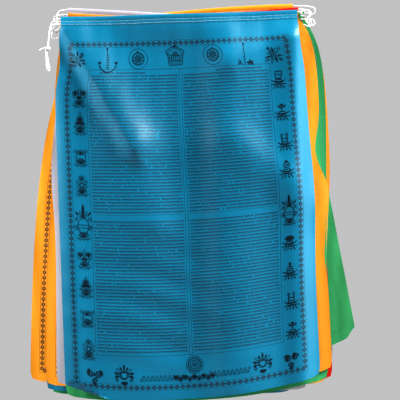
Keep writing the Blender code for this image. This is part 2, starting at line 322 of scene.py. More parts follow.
def foldRelief(rows, x, height):
    total = 0.0
    for fold in rows:
        topX, topZ = fold["top"]
        runX, runZ = fold["foot"][0] - topX, fold["foot"][1] - topZ
        span = math.hypot(runX, runZ)
        along = ((x - topX) * runX + (height - topZ) * runZ) / span ** 2
        across = ((x - topX) * runZ - (height - topZ) * runX) / span
        across = across / np.where(across > 0, fold["left"], fold["right"])
        past = np.maximum(0.0, np.maximum(-along, along - 1)) * span * 2 / (fold["left"] + fold["right"])
        total = total + fold["height"] * bump(np.hypot(across, past), 0, 1)
    return total


def frontRelief(x, height):
    fall = np.maximum(0.0, -height - frontLift["from"])
    total = frontLift["height"] * (1 - np.exp(-fall / frontLift["settle"]))
    total = total + foldRelief(frontFoldRows, x, height)
    bow = bump(x, frontLift["bowAt"], frontLift["bowReach"]) * bump(fall, 0, frontLift["bowFall"])
    total = total + frontLift["bowRise"] * bow
    ripple = np.sin(2 * np.pi * (height / frontLift["ripplePitch"] + 0.6 * np.sin(x * 9)))
    for at, centre, reach in zip((x, height), frontLift["rippleAt"], frontLift["rippleReach"]):
        ripple = ripple * bump(at, centre, reach)
    return total + frontLift["rippleRise"] * ripple


def clothDepth(number, x, height):
    depth = layerDepth(number, height) + bundleFolds(x, height)
    return depth - (frontRelief(x, height) if number == 1 else 0.0)


# the string: its tail at the front left, its knot and its turns from flag to flag
tailRoute = (
    (-0.2640, -0.0165), (-0.2735, -0.0220), (-0.2785, -0.0350), (-0.2810, -0.0520), (-0.2830, -0.0716),
)
# loop under the knot, seen nearly edge on: distance down from its head, and to the side
loopPlace = {"head": (-0.2868, -0.0872), "lean": (0.1226, -0.9925), "turned": (0.30, 0.954)}
loopShape = (
    (-0.0080, -0.0008), (0.0000, -0.0010), (0.0060, -0.0017), (0.0130, -0.0032), (0.0200, -0.0050),
    (0.0265, -0.0067),
    (0.0327, -0.0073), (0.0379, -0.0052), (0.0400, 0.0000), (0.0379, 0.0052), (0.0327, 0.0073),
    (0.0265, 0.0067), (0.0200, 0.0051), (0.0130, 0.0036), (0.0060, 0.0026), (0.0000, 0.0025),
    (-0.0080, 0.0024),
)


def smoothRoute(points, count):
    dense = []
    ends = [points[0] * 2 - points[1], *points, points[-1] * 2 - points[-2]]
    for before, start, end, after in zip(ends, ends[1:], ends[2:], ends[3:]):
        for step in range(40):
            t = step / 40
            curve = start * 2 + (end - before) * t
            curve += (before * 2 - start * 5 + end * 4 - after) * t ** 2
            dense.append((curve + (start * 3 - before - end * 3 + after) * t ** 3) / 2)
    dense = np.array([*dense, points[-1]])
    lengths = np.concatenate([[0], np.cumsum(np.linalg.norm(np.diff(dense, axis=0), axis=1))])
    wanted = np.linspace(0, lengths[-1], count)
    return np.stack([np.interp(wanted, lengths, dense[:, axis]) for axis in range(3)], axis=1)


def ropeMesh(name, route, radius, material):
    # a tube whose section has three lobes that wind along it, closed at both ends
    sides, rings = string["sides"], len(route)
    tangents = np.gradient(route, axis=0)
    tangents /= np.linalg.norm(tangents, axis=1)[:, None]
    normal = np.cross(tangents[0], (0.0, 1.0, 0.0))
    if np.linalg.norm(normal) < 0.1:
        normal = np.cross(tangents[0], (1.0, 0.0, 0.0))
    along = np.concatenate([[0], np.cumsum(np.linalg.norm(np.diff(route, axis=0), axis=1))])
    verts, uvs = [], []
    for ring in range(rings):
        normal = normal - tangents[ring] * np.dot(normal, tangents[ring])
        normal = normal / np.linalg.norm(normal)
        other = np.cross(tangents[ring], normal)
        for side in range(sides):
            turn = 2 * math.pi * side / sides
            lobe = 1 + string["lobe"] * math.cos(3 * turn - along[ring] * string["twist"])
            verts.append(route[ring] + (normal * math.cos(turn) + other * math.sin(turn)) * radius * lobe)
    faces = []
    for ring in range(rings - 1):
        for side in range(sides):
            a, b = ring * sides + side, ring * sides + (side + 1) % sides
            faces.append((a, b, b + sides, a + sides))
            uvs.append([(along[ring + up], (side + over) / sides * string["layLength"])
                        for up, over in ((0, 0), (0, 1), (1, 1), (1, 0))])
    for ring, flip in ((0, True), (rings - 1, False)):
        tip = len(verts)
        verts.append(route[ring])
        for side in range(sides):
            a, b = ring * sides + side, ring * sides + (side + 1) % sides
            faces.append((b, a, tip) if flip else (a, b, tip))
            uvs.append([(along[ring], 0.0)] * 3)
    mesh = bpy.data.meshes.new(name)
    mesh.from_pydata([tuple(v) for v in verts], [], faces)
    layer = mesh.uv_layers.new(name="rope")
    layer.data.foreach_set("uv", np.array([uv for face in uvs for uv in face]).ravel())
    mesh.shade_smooth()
    return placeMesh(name, mesh, material)


def headingEnd(number, side):
    height = edgeHeight(number, "head", 0.0 if side == "left" else 1.0) - cloth["beadAt"]
    gap = -string["gap"] if side == "left" else string["gap"]
    return sideAt(number, side, cloth["beadAt"] / cloth["drop"]) + gap, height


def turnRoute(number):
    side = "right" if number % 2 else "left"
    out = 1 if side == "right" else -1
    (x1, z1), (x2, z2) = headingEnd(number, side), headingEnd(number + 1, side)
    reach = max(out * x1, out * x2)
    middle, wide = (z1 + z2) / 2 - string["sag"], string["reach"]
    half = max(string["half"], abs(z1 - z2) / 2 + 0.001) * (1 if z1 >= z2 else -1)
    upper, lower = middle + half, middle - half
    points = []
    for x, z, share in (
        (out * x1, z1, 0.0),
        (reach + 0.003, z1 + (upper - z1) * 0.04, 0.0),
        (reach + wide * 0.40, z1 + (upper - z1) * 0.50, 0.03),
        (reach + wide * 0.65, upper, 0.12),
        (reach + wide * 0.91, middle + half * 0.71, 0.30),
        (reach + wide, middle, 0.50),
        (reach + wide * 0.91, middle - half * 0.71, 0.70),
        (reach + wide * 0.65, lower, 0.88),
        (reach + wide * 0.40, z2 + (lower - z2) * 0.50, 0.97),
        (reach + 0.003, z2 + (lower - z2) * 0.04, 1.0),
        (out * x2, z2, 1.0),
    ):
        depth = clothDepth(number, out * x, z)
        depth += (clothDepth(number + 1, out * x, z) - depth) * share
        points.append(np.array((out * x, depth, z)))
    return smoothRoute(points, 48)


# block print, in millimetres across and down the flag
printing = {
    "chain": {
        "left": 25.5, "right": 527.5, "top": 62.0, "bottom": 803.0, "reach": 6.2, "pitch": 12.6,
        "petalAt": 3.0, "petalReach": 1.45, "heart": 1.0, "bead": 1.5,
    },
    "frame": {"left": 71.0, "right": 483.0, "middle": 279.5, "top": 117.0, "bottom": 735.0, "split": 3.0},
    "rows": {
        "pitch": 7.0, "letter": 3.1, "start": 122.0, "margin": 4.0, "splitMargin": 3.5, "blanks": 0.975,
        "gapAt": 438.0, "gapReach": 6.5, "titleAt": 133.0, "titleReach": 52.0,
    },
    "line": 0.45,
}


def noiseAt(tree, x, y, seed):
    # a steady random number for each whole x and y
    join = addNode(tree, "ShaderNodeCombineXYZ", {0: x, 1: y, 2: seed})
    white = addNode(tree, "ShaderNodeTexWhiteNoise", {"Vector": join.outputs[0]})
    return Num(tree, white.outputs["Value"])


def makePrintGroup():
    tree = bpy.data.node_groups.new("flagPrint", "ShaderNodeTree")
    for label, way in (("Across", "INPUT"), ("Down", "INPUT"), ("Ink", "OUTPUT")):
        tree.interface.new_socket(label, in_out=way, socket_type="NodeSocketFloat")
    ends = tree.nodes.new("NodeGroupInput")
    across, down = Num(tree, ends.outputs["Across"]), Num(tree, ends.outputs["Down"])
    chain, box, rows, line = printing["chain"], printing["frame"], printing["rows"], printing["line"]

    # border: two thin rules with a chain of flowers and beads between them
    centreX, centreY = (chain["left"] + chain["right"]) / 2, (chain["top"] + chain["bottom"]) / 2
    fromX = (across - centreX).size() - (chain["right"] - chain["left"]) / 2
    fromY = (down - centreY).size() - (chain["bottom"] - chain["top"]) / 2
    edge = fromX.most(fromY)                       # distance out from the chain's middle line
    rules = edge.size().within(chain["reach"], line * 0.75)
    onSide = (fromX - fromY).ramp(-0.01, 0.01)     # 1 on the two upright bands
    along = down * onSide + across * (onSide * -1 + 1)
    step = ((along / chain["pitch"]).calc("FRACT") - 0.5) * chain["pitch"]
    flower = (step * step + edge * edge).calc("SQRT")
    petals = flower.within(chain["petalAt"], chain["petalReach"])
    heart = flower.ramp(chain["heart"], chain["heart"] - 0.4)
    beadStep = step.size() - chain["pitch"] / 2
    bead = (beadStep * beadStep * 0.6 + edge * edge).calc("SQRT").ramp(chain["bead"], chain["bead"] - 0.5)
    motif = petals.most(heart).most(bead)
    inBand = edge.size().ramp(chain["reach"], chain["reach"] - 0.4)
    border = rules.most(motif * inBand)

    # frame of the writing, with its double middle rule
    inX = across.over(box["left"] - line) * across.under(box["right"] + line)
    inY = down.over(box["top"] - line) * down.under(box["bottom"] + line)
    upright = across.within(box["left"], line).most(across.within(box["right"], line))
    half = (across - box["middle"]).size()
    upright = upright.most(half.within(box["split"], line))
    level = down.within(box["top"], line).most(down.within(box["bottom"], line))
    frames = (upright * inY).most(level * inX)

    # rows of plain strokes under a broken head line
    row = (down - rows["start"]) / rows["pitch"]
    inRow = row.calc("FRACT")
    rowNumber = row.calc("FLOOR")
    wobble = noiseAt(tree, rowNumber, rowNumber, 3.0) * rows["letter"]
    letter = (across + wobble) / rows["letter"]
    letterNumber, inLetter = letter.calc("FLOOR"), letter.calc("FRACT")
    length = noiseAt(tree, letterNumber, rowNumber, 1.0)
    place = noiseAt(tree, letterNumber, rowNumber, 2.0)
    blank = noiseAt(tree, letterNumber, rowNumber, 5.0).over(rows["blanks"])
    stroke = (inLetter - (place * 0.4 + 0.3)).size().ramp(0.23, 0.13)
    foot = length * 0.38 + 0.35
    stroke = stroke * inRow.over(0.14) * foot.over(inRow)
    hook = (inRow - foot).size().ramp(0.09, 0.05) * (length * -1 + 1.4).ramp(0.7, 0.8)
    head = inRow.within(0.20, 0.08, 0.03)
    writing = head.most(stroke).most(hook) * (blank * -1 + 1)
    inText = across.over(box["left"] + rows["margin"]) * across.under(box["right"] - rows["margin"])
    inText = inText * half.over(box["split"] + rows["splitMargin"])
    inText = inText * down.over(rows["start"]) * down.under(box["bottom"] - rows["margin"])
    inText = inText * (down - rows["gapAt"]).size().over(rows["gapReach"])
    title = down.under(rows["start"] + rows["pitch"])
    shortTitle = (half - rows["titleAt"]).size().over(rows["titleReach"])
    inText = inText * (title * shortTitle * -1 + 1)
    ink = border.most(frames).most(writing * inText)

    addNode(tree, "NodeGroupOutput", {"Ink": ink})
    return tree


# colours and finish of the cloth
clothFinish = {
    "blue": (0.0, 0.205, 0.340),
    "yellow": (0.960, 0.370, 0.030),
    "green": (0.055, 0.340, 0.130),
    "red": (0.700, 0.018, 0.010),
    "white": (0.500, 0.490, 0.560),
    "ink": (0.004, 0.010, 0.022),
    "gloss": {
        "blue": (0.95, 0.95, 0.95), "yellow": (1.0, 0.80, 0.45), "green": (0.45, 1.0, 0.65),
        "red": (1.0, 0.45, 0.35), "white": (1.0, 1.0, 1.0),
    },
    "roughness": 0.42,
    "inkRoughness": 0.15,      # added where there is ink
    "specular": 0.55,
    "sheen": 0.02,
    "evenTone": 0.86,
    "dyeTone": 0.10,           # slow unevenness of the dye
    "threadTone": 0.08,        # thicker and thinner threads
    # the back side is drawn darker than the face: partly its own plainer look, partly painted shade for the
    # turned-up corner
    "reverseToneAndShade": 0.72,
    "weavePitch": 0.0008,
    "weaveDepth": 0.00002,
    "creaseDepth": 0.0012,
    "inkOnFace": 0.94,
    "inkThrough": 0.16,
}


def noiseFac(tree, place, scale, detail=2.0, distortion=0.0):
    made = addNode(tree, "ShaderNodeTexNoise", {
        "Vector": place, "Scale": scale, "Detail": detail, "Distortion": distortion,
    })
    return Num(tree, made.outputs["Fac"])


def twoTone(tree, share, dark, light, start=0.0, end=1.0):
    ramp = addNode(tree, "ShaderNodeValToRGB", {"Fac": share})
    for stop, place, colour in zip(ramp.color_ramp.elements, (start, end), (dark, light)):
        stop.position, stop.color = place, (*colour, 1)
    return ramp.outputs["Color"]


def bumpFrom(tree, height, strength, distance):
    made = addNode(tree, "ShaderNodeBump", {"Height": height, "Strength": strength, "Distance": distance})
    return made.outputs[0]


def clothMaterial(colour, printed, group):
    made, tree, shader = newMaterial(f"{colour}Cloth{'Face' if printed else 'Reverse'}")
    place = addNode(tree, "ShaderNodeUVMap", {}, uv_map="cloth").outputs[0]
    split = addNode(tree, "ShaderNodeSeparateXYZ", {0: place})
    u, v = Num(tree, split.outputs[0]), Num(tree, split.outputs[1])
    ink = addNode(tree, "ShaderNodeGroup", {}, node_tree=group)
    feed(tree, ink, {"Across": u * 1000, "Down": v * -1000})

    stretch = addNode(tree, "ShaderNodeMapping", {"Scale": (90, 900, 1), "Vector": place})
    slub = noiseFac(tree, stretch.outputs[0], 1)
    tone = noiseFac(tree, place, 7, 3).ramp(0.3, 0.7) * clothFinish["dyeTone"]
    tone = tone + slub * clothFinish["threadTone"] + clothFinish["evenTone"]
    # painted shade: the back side is darkened, partly for its plainer look and partly as shade on the
    # turned-up corner
    if not printed:
        tone = tone * clothFinish["reverseToneAndShade"]
    grey = addNode(tree, "ShaderNodeCombineColor", {0: tone, 1: tone, 2: tone})
    base = addNode(tree, "ShaderNodeMix", {}, data_type="RGBA", blend_type="MULTIPLY")
    feed(tree, base, {"Factor": 1.0, "A": (*clothFinish[colour], 1), "B": grey.outputs[0]})
    wear = slub.ramp(0.2, 0.6) * 0.25 + 0.75
    strength = Num(tree, ink.outputs["Ink"]) * wear * clothFinish["inkOnFace" if printed else "inkThrough"]
    inked = addNode(tree, "ShaderNodeMix", {}, data_type="RGBA")
    feed(tree, inked, {"Factor": strength, "A": base.outputs["Result"], "B": (*clothFinish["ink"], 1)})

    turn = 2 * math.pi / clothFinish["weavePitch"]      # plain weave: threads over and under
    weave = (u * turn).calc("SINE") * (v * turn).calc("SINE") * clothFinish["weaveDepth"]
    height = weave + noiseFac(tree, place, 16, 4, 0.6) * clothFinish["creaseDepth"]
    feed(tree, shader, {
        "Base Color": inked.outputs["Result"],
        "Normal": bumpFrom(tree, height, 1.0, 1.0),
        "Roughness": strength * clothFinish["inkRoughness"] + clothFinish["roughness"],
        "Specular IOR Level": clothFinish["specular"],
        "Specular Tint": (*clothFinish["gloss"][colour], 1),
        "Sheen Weight": clothFinish["sheen"],
        "Sheen Roughness": 0.4,
    })
    return made


def threadMaterial(name, colour, twist):
    made, tree, shader = newMaterial(name)
    fibre = noiseFac(tree, tree.nodes.new("ShaderNodeTexCoord").outputs["Object"], twist, 4)
    feed(tree, shader, {
        "Base Color": twoTone(tree, fibre, [part * 0.72 for part in colour], colour, 0.30, 0.70),
        "Normal": bumpFrom(tree, fibre, 0.5, 0.0003),
        "Roughness": 0.85,
        "Sheen Weight": 0.3,
    })
    return made


def inkMaterial():
    made, tree, shader = newMaterial("printInk")
    wear = noiseFac(tree, tree.nodes.new("ShaderNodeTexCoord").outputs["Object"], 900, 3)
    feed(tree, shader, {
        "Base Color": twoTone(tree, wear, (0.002, 0.014, 0.026), (0.008, 0.030, 0.048)),
        "Specular IOR Level": 0.2,
        "Roughness": 0.7,
    })
    return made


printGroup = makePrintGroup()
colours = ("blue", "yellow", "green", "red", "white")
faceCloth = {colour: clothMaterial(colour, True, printGroup) for colour in colours}
reverseCloth = {colour: clothMaterial(colour, False, printGroup) for colour in colours}
cottonString = threadMaterial("cottonString", (0.82, 0.81, 0.79), 1400)
sewingThread = threadMaterial("sewingThread", (0.62, 0.74, 0.82), 2500)
printInk = inkMaterial()
print("cloth, thread and ink ready")


# the string, as laid cotton
def stringPiece(name, route, node):
    rope = ropeMesh(name, route, string["radius"], cottonString)
    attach(rope, "root")
    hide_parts(node)
    return rope


def plainPiece(ob, node=None, slotName="cord"):
    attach(ob, "root")
    if node:
        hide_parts(node)


knot = {"centre": (-0.2830, -0.0785), "turns": 2.6, "spread": 0.0031, "bulge": 0.0006, "half": 0.0042}


def makeKnot(depth):
    # three wraps round the string, and a short cut end that sticks out to the left
    (x, z), points = knot["centre"], []
    for share in np.linspace(0, 1, 61):
        turn = 2 * math.pi * knot["turns"] * share
        spread = knot["spread"] + knot["bulge"] * math.sin(math.pi * share)
        height = z + knot["half"] * (1 - 2 * share)
        points.append((x + spread * math.cos(turn), depth + spread * math.sin(turn), height))
    wraps = ropeMesh("stringKnot", np.array(points), string["radius"], cottonString)
    end = [np.array((x, depth + y, z)) for x, y, z in (
        (-0.2835, 0.0, -0.0790), (-0.2880, -0.0015, -0.0780), (-0.2930, -0.0012, -0.0786),
        (-0.2975, 0.0, -0.0803), (-0.3020, 0.0006, -0.0828),
    )]
    cut = ropeMesh("stringCutEnd", smoothRoute(end, 24), string["radius"] * 0.95, cottonString)
    return wraps, cut


def makeString():
    x, z = headingEnd(1, "left")
    depth = clothDepth(1, x, z)
    wraps, cut = makeKnot(depth)
    plainPiece(wraps, "cord_knot")
    plainPiece(cut, "cord_knot")
    tail = [np.array((x, depth, z))] + [np.array((x, depth, z)) for x, z in tailRoute]
    tail[0] = tail[0] + (0.0040, 0, 0)
    tail.append(np.array((-0.2830, depth, -0.0780)))
    stringPiece("stringTail", smoothRoute(tail, 60), "cord_tail")
    (headX, headZ), (leanX, leanZ) = loopPlace["head"], loopPlace["lean"]
    turnX, turnY = loopPlace["turned"]
    loop = [
        np.array((headX + leanX * down + turnX * side, depth + turnY * side, headZ + leanZ * down))
        for down, side in loopShape
    ]
    stringPiece("stringLoop", smoothRoute(loop, 90), "cord_loop")
    for number in range(1, len(flags)):
        route = turnRoute(number)
        inward = np.array((-0.0040 if number % 2 else 0.0040, 0, 0))
        route = np.concatenate([[route[0] + inward], route, [route[-1] + inward]])
        stringPiece(f"stringTurn{number:02d}", route, f"cord_turn_{number:02d}")


makeString()
print("string made")

# each flag as a thin closed sheet
sheetGrid = {
    "front": (150, 216),
    "behind": (54, 84),
    "heading": (           # distance down, half the thickness
        (0.0, 0.0006), (0.0010, 0.0012), (0.0022, 0.0016), (0.0035, 0.00175), (0.0050, 0.00175),
        (0.0065, 0.0016), (0.0080, 0.0012), (0.0096, 0.0007), (0.0110, 0.00055), (0.0150, 0.0006),
        (0.0188, 0.0006), (0.0192, 0.00026),
    ),
    "worn": 0.004,         # how far the lower corners are worn off
    "wornMost": 0.010,
    "wornAcross": 0.022,
    "wornUp": 0.014,
    "puckerPitch": 0.0110,
    "puckerRise": 0.00035,
    "foldPitch": 0.031,
    "foldRise": 0.0011,
    "gatherPitch": 0.046,
    "gatherRise": 0.0006,
}


def turnCornerUp(x, z):
    (startX, startZ), (endX, endZ) = corner["start"], corner["end"]
    span = math.hypot(endX - startX, endZ - startZ)
    outX, outZ = (endZ - startZ) / span, -(endX - startX) / span
    beyond = np.maximum(0.0, (x - startX) * outX + (z - startZ) * outZ)
    along = ((x - startX) * (endX - startX) + (z - startZ) * (endZ - startZ)) / span
    angle = np.minimum(beyond / corner["radius"], math.pi)
    rest = beyond - angle * corner["radius"]
    wave = np.sin(along * 2 * math.pi / corner["wavePitch"] + corner["waveShift"])
    shift = corner["radius"] * np.sin(angle) - rest * (1 + corner["wave"] * wave) - beyond
    lift = corner["radius"] * (1 - np.cos(angle)) + rest * (corner["lean"] + corner["leanWave"] * wave)
    return x + outX * shift, z + outZ * shift, lift


def flagSheet(number):
    columns, rows = sheetGrid["front" if number == 1 else "behind"]
    drop = float(edgeHeight(number, "head", 0.5) - edgeHeight(number, "foot", 0.5))
    heads, halves = np.array(sheetGrid["heading"]).T
    downs = np.concatenate([heads, np.linspace(heads[-1], drop, rows + 1)[1:]])
    share, across = np.meshgrid(downs / drop, np.linspace(0, 1, columns + 1), indexing="ij")
    left, right = sideAt(number, "left", share), sideAt(number, "right", share)
    head, foot = edgeHeight(number, "head", across), edgeHeight(number, "foot", across)
    x, z, lift = left + (right - left) * across, head + (foot - head) * share, 0.0
    for side in (0, 1):
        worn = sheetGrid["wornMost" if number == 18 and side else "worn"]
        worn = worn * bump(across, side, sheetGrid["wornAcross"]) * bump(share, 1, sheetGrid["wornUp"])
        x, z = x + worn * (1 - 2 * side), z + worn * 0.8
    if number == 1:
        x, z, lift = turnCornerUp(x, z)
    y = clothDepth(number, x, z) - lift
    below = share * drop
    seed = number * 1.7
    pucker = np.sin(2 * np.pi * x / sheetGrid["puckerPitch"] + seed + 2 * np.sin(x * 40 + seed))
    y = y + sheetGrid["puckerRise"] * pucker * bump(below, 0.0150, 0.0060)
    gather = np.sin(2 * np.pi * x / sheetGrid["gatherPitch"] + seed * 2 + 1.5 * np.sin(x * 17 + seed))
    y = y + sheetGrid["gatherRise"] * gather * (1 - np.exp(-below / 0.02)) * np.exp(-below / 0.16)
    if number > 1:
        fold = np.sin(2 * np.pi * (x / sheetGrid["foldPitch"] + 0.5 * np.sin(z * 6 + seed) + seed))
        y = y + sheetGrid["foldRise"] * fold * (1 - np.exp(-below / 0.06))
    points = np.stack([x, y, z], axis=-1)
    normals = np.cross(np.gradient(points, axis=0), np.gradient(points, axis=1))
    normals /= np.linalg.norm(normals, axis=-1)[..., None]
    return {
        "number": number, "odd": number % 2 == 1, "drop": drop, "points": points, "normals": normals,
        "half": np.interp(below, heads, halves), "share": share[:, 0], "across": across,
    }


def sheetObject(sheet, name, faceMaterial, reverseMaterial):
    points, normals, half = sheet["points"], sheet["normals"], sheet["half"][..., None]
    rows, columns = points.shape[:2]
    count = rows * columns
    verts = np.concatenate([points + normals * half, points - normals * half]).reshape(-1, 3)
    index = np.arange(count).reshape(rows, columns)
    quads = np.stack([index[:-1, :-1], index[1:, :-1], index[1:, 1:], index[:-1, 1:]], axis=-1).reshape(-1, 4)
    rim = np.concatenate([index[0, :0:-1], index[:-1, 0], index[-1, :-1], index[:0:-1, -1]])
    around = np.roll(rim, -1)
    edges = np.stack([rim, rim + count, around + count, around], axis=-1)
    faces = np.concatenate([quads, quads[:, ::-1] + count, edges])
    mesh = bpy.data.meshes.new(name)
    mesh.vertices.add(len(verts))
    mesh.vertices.foreach_set("co", verts.ravel())
    mesh.loops.add(faces.size)
    mesh.loops.foreach_set("vertex_index", faces.ravel())
    mesh.polygons.add(len(faces))
    mesh.polygons.foreach_set("loop_start", np.arange(0, faces.size, 4))
    odd = sheet["odd"]     # the print faces forward on an odd flag and back on an even one
    slots = np.repeat([1 - odd, int(odd), 0], [len(quads), len(quads), len(edges)])
    mesh.polygons.foreach_set("material_index", slots.astype(np.int32))
    across = sheet["across"].ravel()
    u = (across if odd else 1 - across) * cloth["width"]
    v = np.repeat(-sheet["share"] * cloth["length"], columns)
    uv = np.stack([np.tile(u, 2), np.tile(v, 2)], axis=-1)
    layer = mesh.uv_layers.new(name="cloth")
    layer.data.foreach_set("uv", uv[faces.ravel()].ravel())
    ob = placeMesh(name, mesh, faceMaterial, reverseMaterial)
    mesh.update()
    mesh.validate()
    mesh.shade_smooth()
    mesh.set_sharp_from_angle(angle=math.radians(60))
    return ob


def onCloth(sheet, across, down, side, lift):
    # points of one side, in millimetres across and down the flag as it hangs, lifted off the cloth
    points, normals, half, shares = sheet["points"], sheet["normals"], sheet["half"], sheet["share"]
    rows, columns = half.shape
    across = np.clip(across / (cloth["width"] * 1000), 0, 1) * (columns - 1)
    share = np.clip(down / (cloth["length"] * 1000), 0, 1)
    row = np.clip(np.searchsorted(shares, share) - 1, 0, rows - 2)
    column = np.clip(across.astype(int), 0, columns - 2)
    t = (share - shares[row]) / (shares[row + 1] - shares[row])
    s = across - column
    total = 0
    weights = ((0, 0, (1 - t) * (1 - s)), (1, 0, t * (1 - s)), (0, 1, (1 - t) * s), (1, 1, t * s))
    for dr, dc, weight in weights:
        r, c = row + dr, column + dc
        surface = points[r, c] + normals[r, c] * side * (half[r, c] + lift)[..., None]
        total = total + surface * weight[..., None]
    return total


def onPrint(sheet, u, v, lift):
    # the same on the printed side, which faces back on every second flag
    if sheet["odd"]:
        return onCloth(sheet, u, v, 1, lift)
    return onCloth(sheet, cloth["width"] * 1000 - u, v, -1, lift)


sheets = {}
for number, flag in enumerate(flags, 1):
    sheets[number] = flagSheet(number)
    colour = flag["colour"]
    name = f"{colour}Flag{number:02d}"
    piece = sheetObject(sheets[number], name, faceCloth[colour], reverseCloth[colour])
    sheets[number]["object"] = piece
    plainPiece(piece, f"flag_{number:02d}_{colour}", f"cloth_{colour}")
print("flags made:", len(sheets))


# stitches along the two rows of each heading, on both sides of the cloth
stitching = {
    "rows": (0.0107, 0.0172), "pitch": 0.0036, "length": 0.0026, "radius": 0.00032, "sides": 6,
    "shortest": 0.86, "longest": 1.08, "wander": 0.25, "sideGap": 2.5,
}


def stitchTree():
    tree = bpy.data.node_groups.new("stitchRow", "GeometryNodeTree")
    tree.interface.new_socket("Geometry", in_out="OUTPUT", socket_type="NodeSocketGeometry")
    for label, kind in (
        ("Geometry", "Geometry"), ("Stitch Pitch", "Float"), ("Stitch Length", "Float"),
        ("Thread Radius", "Float"), ("Thread", "Material"), ("Seed", "Int"),
    ):
        tree.interface.new_socket(label, in_out="INPUT", socket_type=f"NodeSocket{kind}")
    given = tree.nodes.new("NodeGroupInput").outputs
    curve = addNode(tree, "GeometryNodeMeshToCurve", {"Mesh": given["Geometry"]})
    even = addNode(tree, "GeometryNodeResampleCurve", {
        "Curve": curve.outputs[0], "Length": given["Stitch Pitch"],
    }, mode="LENGTH")
    stitch = addNode(tree, "GeometryNodeMeshCylinder", {
        "Vertices": stitching["sides"], "Radius": given["Thread Radius"], "Depth": given["Stitch Length"],
    })
    tangent = tree.nodes.new("GeometryNodeInputTangent")
    turn = addNode(tree, "FunctionNodeAlignRotationToVector", {"Vector": tangent.outputs[0]}, axis="Z")
    size = addNode(tree, "FunctionNodeRandomValue", {
        2: stitching["shortest"], 3: stitching["longest"], "Seed": given["Seed"],
    }, data_type="FLOAT")
    place = addNode(tree, "GeometryNodeInstanceOnPoints", {
        "Points": even.outputs[0], "Instance": stitch.outputs["Mesh"], "Rotation": turn.outputs[0],
        "Scale": size.outputs[1],
    })
    real = addNode(tree, "GeometryNodeRealizeInstances", {0: place.outputs[0]})
    paint = addNode(tree, "GeometryNodeSetMaterial", {
        "Geometry": real.outputs[0], "Material": given["Thread"],
    })
    addNode(tree, "NodeGroupOutput", {"Geometry": paint.outputs[0]})
    return tree


def nodesToMesh(ob, tree, values):
    modifier = ob.modifiers.new("rows", "NODES")
    modifier.node_group = tree
    for item in tree.interface.items_tree:
        if item.in_out == "INPUT" and item.name in values:
            modifier[item.identifier] = values[item.name]
    graph = bpy.context.evaluated_depsgraph_get()
    made = bpy.data.meshes.new_from_object(ob.evaluated_get(graph))
    ob.modifiers.remove(modifier)
    ob.data = made
    return ob


def stitchPiece(sheet, tree):
    # the stitch rows follow the cloth: one edge chain for each row and side
    number, verts, edges = sheet["number"], [], []
    across = np.linspace(stitching["sideGap"], cloth["width"] * 1000 - stitching["sideGap"], 160)
    for row in stitching["rows"]:
        down = row / sheet["drop"] * cloth["length"] * 1000
        down = down + stitching["wander"] * np.sin(across / 23 + number)
        for side in (1, -1) if sheet["odd"] else (-1, 1):
            line = onCloth(sheet, across, down, side, 0.00005)
            edges += [(len(verts) + step, len(verts) + step + 1) for step in range(len(line) - 1)]
            verts += [tuple(point) for point in line]
    mesh = bpy.data.meshes.new("stitchLines")
    mesh.from_pydata(verts, edges, [])
    ob = placeMesh(f"headingStitches{number:02d}", mesh)
    return nodesToMesh(ob, tree, {
        "Stitch Pitch": stitching["pitch"], "Stitch Length": stitching["length"],
        "Thread Radius": stitching["radius"], "Thread": sewingThread, "Seed": number,
    })


rowTree = stitchTree()
for number, sheet in sheets.items():
    sheet["stitches"] = stitchPiece(sheet, rowTree)
    plainPiece(sheet["stitches"], None, f"cloth_{flags[number - 1]['colour']}")
print("headings stitched")


# emblems of the block print: strokes, rings, dots and leaves on the printed side, in millimetres
class Pen:
    def __init__(self):
        self.verts, self.faces, self.rims = [], [], []

    def strip(self, points, width, closed=False):
        points = np.array(points, dtype=float)
        ahead = np.roll(points, -1, axis=0) - points if closed else np.gradient(points, axis=0)
        if closed:
            ahead = ahead + points - np.roll(points, 1, axis=0)
        size = np.linalg.norm(ahead, axis=1)[:, None]
        side = np.stack([-ahead[:, 1], ahead[:, 0]], axis=1) / np.maximum(size, 1e-6) * width / 2
        first, count = len(self.verts), len(points)
        self.verts += [tuple(p) for pair in zip(points - side, points + side) for p in pair]
        for step in range(count if closed else count - 1):
            a, b = first + 2 * step, first + 2 * ((step + 1) % count)
            self.faces.append((a, b, b + 1, a + 1))
        left = [first + 2 * step for step in range(count)]
        right = [first + 2 * step + 1 for step in range(count)]
        self.rims += [left, right[::-1]] if closed else [left + right[::-1]]

    def patch(self, points):
        first = len(self.verts)
        self.verts += [tuple(p) for p in points]
        self.faces.append(tuple(range(first, first + len(points))))
        self.rims.append(list(range(first, first + len(points))))


def thinned(points, most=3.5):
    # points added so that no step is longer than most
    made = [points[0]]
    for start, end in zip(points, points[1:]):
        steps = max(1, math.ceil(math.dist(start, end) / most))
        made += [tuple(s + (e - s) * k / steps for s, e in zip(start, end)) for k in range(1, steps + 1)]
    return made


def arcPoints(x, y, radius, start, end, squash=1.0):
    count = max(5, int(abs(end - start) / 360 * 2 * math.pi * radius / 2.0) + 2)
    turns = np.radians(np.linspace(start, end, count))
    return [(x + radius * math.cos(t), y + radius * squash * math.sin(t)) for t in turns]


def line(*points, width=0.9):
    return [("line", thinned(points), width)]


def outlined(corners, width):
    return [("loop", thinned([*corners, corners[0]])[:-1], width)]


def arc(x, y, radius, start, end, width=0.9, squash=1.0):
    return [("line", arcPoints(x, y, radius, start, end, squash), width)]


def ring(x, y, radius, width=0.9, squash=1.0):
    return [("loop", arcPoints(x, y, radius, 0, 360, squash)[:-1], width)]


def polar(reach, turn, x=0, y=0):
    return x + reach * math.cos(turn), y + reach * math.sin(turn)


def dot(x, y, radius):
    if radius < 1:
        return [("patch", arcPoints(x, y, radius, 0, 360)[:-1])]
    return [("patch", [polar(radius, turn, x, y) for turn in np.linspace(0, 2 * math.pi, 9)[:-1]])]


